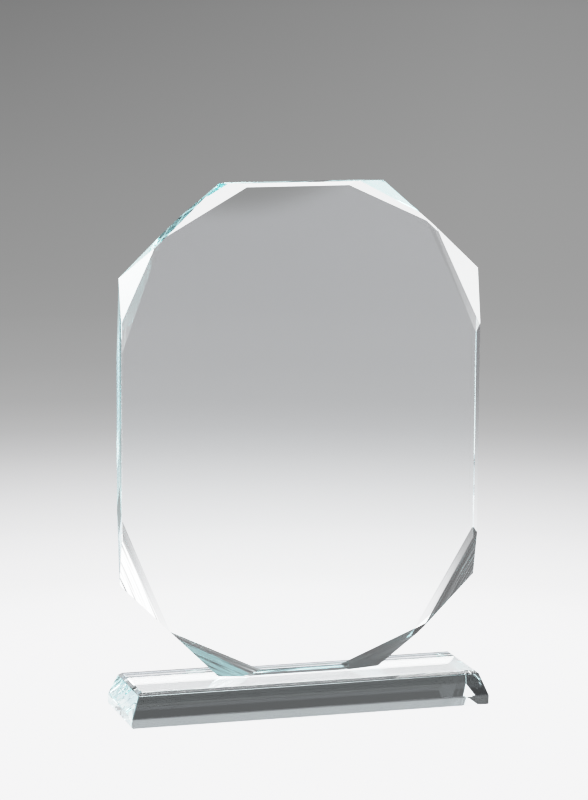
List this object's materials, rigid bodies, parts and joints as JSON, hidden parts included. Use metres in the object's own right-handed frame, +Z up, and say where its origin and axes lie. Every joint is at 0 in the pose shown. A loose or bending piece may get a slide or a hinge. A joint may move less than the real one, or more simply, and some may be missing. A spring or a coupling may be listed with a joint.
{
  "type": "crystal award",
  "caption": "Upright clear glass octagon plate with ground corner facets, bonded to a low glass base with sloping sides.",
  "frame": {"origin": "middle of the base's underside, on the surface that it stands on", "axes": "+Z up the plate, +X along its width, -Y out of its front face"},
  "size_m": [0.178, 0.051, 0.254],
  "materials": {
    "plate_glass": "clear float glass, polished faces and polished ground facets",
    "base_glass": "clear float glass, polished on every side",
    "clear_adhesive": "clear cured adhesive film"
  },
  "bodies": {
    "root": {"octagon_plate": "plate_glass", "bevelled_base": "base_glass", "bond_film": "clear_adhesive"}
  },
  "joints": []
}
